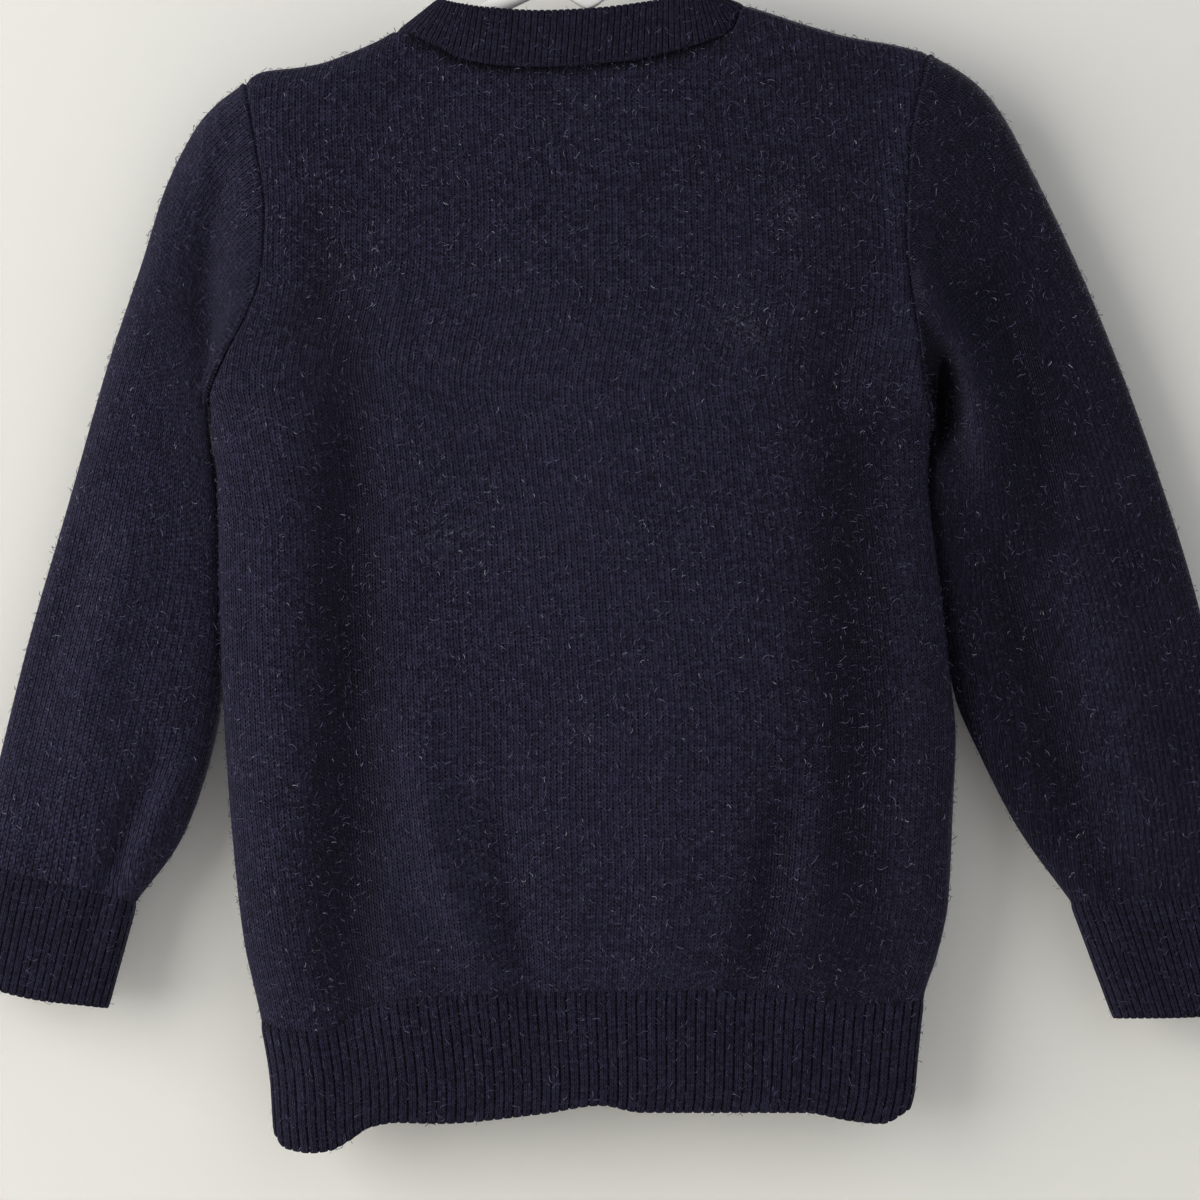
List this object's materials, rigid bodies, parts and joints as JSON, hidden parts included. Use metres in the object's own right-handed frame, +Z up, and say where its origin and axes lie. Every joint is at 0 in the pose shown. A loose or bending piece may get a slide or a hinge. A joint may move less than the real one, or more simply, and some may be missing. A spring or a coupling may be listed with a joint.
{
  "type": "child's wool sweater on a hanger",
  "caption": "Long-sleeved knitted crew-neck sweater with ribbed hem, cuffs and neckband, hung on a plastic clothes hanger.",
  "frame": {"origin": "the underside of the hook's top, where a rod or wall hook carries it", "axes": "+Z up, the sweater's back faces -Y and its front +Y, +X to the right as the back is seen"},
  "size_m": [0.53, 0.0555, 0.5427],
  "materials": {
    "wool_knit": "fine stocking-stitch wool knit, very dark navy, lightly felted with pale lint",
    "wool_rib": "ribbed wool knit, very dark navy",
    "hanger_plastic": "white moulded plastic, satin"
  },
  "bodies": {
    "root": {"back_panel": "wool_knit", "front_panel": "wool_knit", "sleeve_left": "wool_knit", "sleeve_right": "wool_knit", "cuff_left": "wool_rib", "cuff_right": "wool_rib", "hem_rib": "wool_rib", "neckband": "wool_rib", "hanger": "hanger_plastic"}
  },
  "joints": []
}
